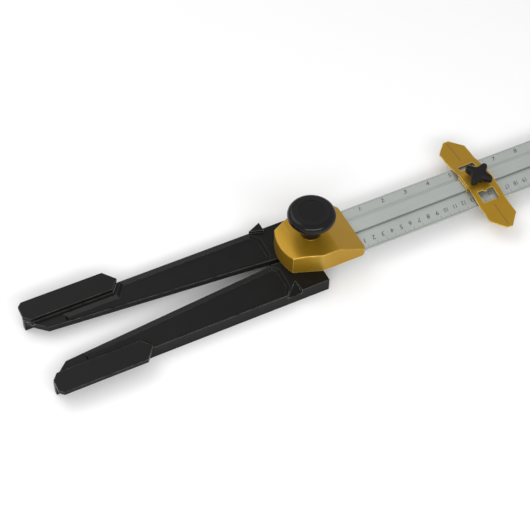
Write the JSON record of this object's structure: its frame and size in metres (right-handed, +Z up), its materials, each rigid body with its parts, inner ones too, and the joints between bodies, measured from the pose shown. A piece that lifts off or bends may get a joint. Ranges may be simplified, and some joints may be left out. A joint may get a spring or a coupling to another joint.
{
  "type": "folding marking square with graduated rule",
  "caption": "Hand marking and layout square: folding fence legs on a clamped pivot, a graduated rule and a sliding cursor with a lock knob.",
  "frame": {"origin": "the leg pivot axis, in the plane of the rule's underside, which is the face that lies on the board", "axes": "+X along the rule away from the legs, +Y towards the rule's inch edge, +Z up along the pivot axis"},
  "size_m": [0.626, 0.1226, 0.0695],
  "materials": {
    "gold_anodised": "satin gold anodised",
    "rule_aluminium": "satin, fine lengthwise grain, engraved scales",
    "leg_plastic": "black satin moulding",
    "knob_black": "black gloss moulding",
    "zinc_steel": "zinc plated",
    "brass": "turned",
    "nylon": "natural"
  },
  "bodies": {
    "holder": {"holder_cover": "gold_anodised", "base_plate": "zinc_steel", "base_screws": "zinc_steel", "rule": "rule_aluminium", "rule_screws": "zinc_steel", "pivot_bolt": "zinc_steel", "pivot_sleeve": "zinc_steel", "head_washer": "zinc_steel", "lap_washer": "nylon", "top_washer": "nylon", "spring_washer": "zinc_steel"},
    "clamp": {"clamp_knob": "knob_black", "knob_insert": "brass", "knob_washer": "zinc_steel"},
    "left_leg": {"left_leg": "leg_plastic", "left_bush": "brass"},
    "right_leg": {"right_leg": "leg_plastic", "right_bush": "brass"},
    "cursor": {"cursor_strip": "gold_anodised", "cursor_runner": "gold_anodised", "cursor_bush": "brass", "cursor_spring": "zinc_steel", "pressure_pad": "nylon"},
    "star": {"star_knob": "knob_black", "star_stud": "zinc_steel"}
  },
  "joints": [
    {"name": "left_leg_swing", "type": "hinge", "parent": "holder", "child": "left_leg", "pos_m": [0, 0, -0.002], "axis": [0, 0, -1], "range_deg": [0, 90]},
    {"name": "right_leg_swing", "type": "hinge", "parent": "holder", "child": "right_leg", "pos_m": [0, 0, -0.0055], "axis": [0, 0, 1], "range_deg": [0, 90]},
    {"name": "clamp_knob_turn", "type": "hinge", "parent": "holder", "child": "clamp", "pos_m": [0, 0, 0.03], "axis": [0, 0, 1], "range_deg": [0, 270]},
    {"name": "cursor_slide", "type": "slide", "parent": "holder", "child": "cursor", "axis": [1, 0, 0], "range_m": [-0.12, 0.145]},
    {"name": "star_knob_turn", "type": "hinge", "parent": "cursor", "child": "star", "pos_m": [0.186, 0, 0.014], "axis": [0, 0, 1], "range_deg": [0, 270]}
  ]
}
